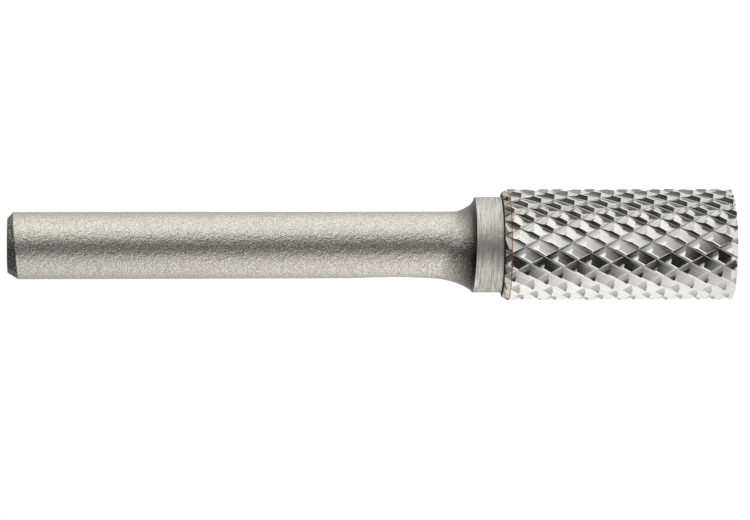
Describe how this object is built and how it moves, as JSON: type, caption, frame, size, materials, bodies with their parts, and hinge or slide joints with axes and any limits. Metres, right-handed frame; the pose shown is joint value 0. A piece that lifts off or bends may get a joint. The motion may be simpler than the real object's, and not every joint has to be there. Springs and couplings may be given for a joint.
{
  "type": "carbide burr",
  "caption": "Rotary cutting burr: a cylindrical carbide head with crossed helical teeth, brazed to a steel collar and round shank.",
  "frame": {"origin": "centre of the head's flat end face, on the tool's axis", "axes": "+Z along the axis from the cutting head toward the free end of the shank; +X is a side of the head, chosen freely"},
  "size_m": [0.01, 0.01, 0.065],
  "materials": {
    "blasted_steel": "fine bead-blasted, matt, warm grey",
    "copper_braze": "thin copper-coloured braze line, ground flush",
    "ground_carbide": "bright ground carbide with fine grinding lines along the flutes"
  },
  "bodies": {
    "root": {"shank": "blasted_steel", "braze_layer": "copper_braze", "cutting_head": "ground_carbide"}
  },
  "joints": []
}
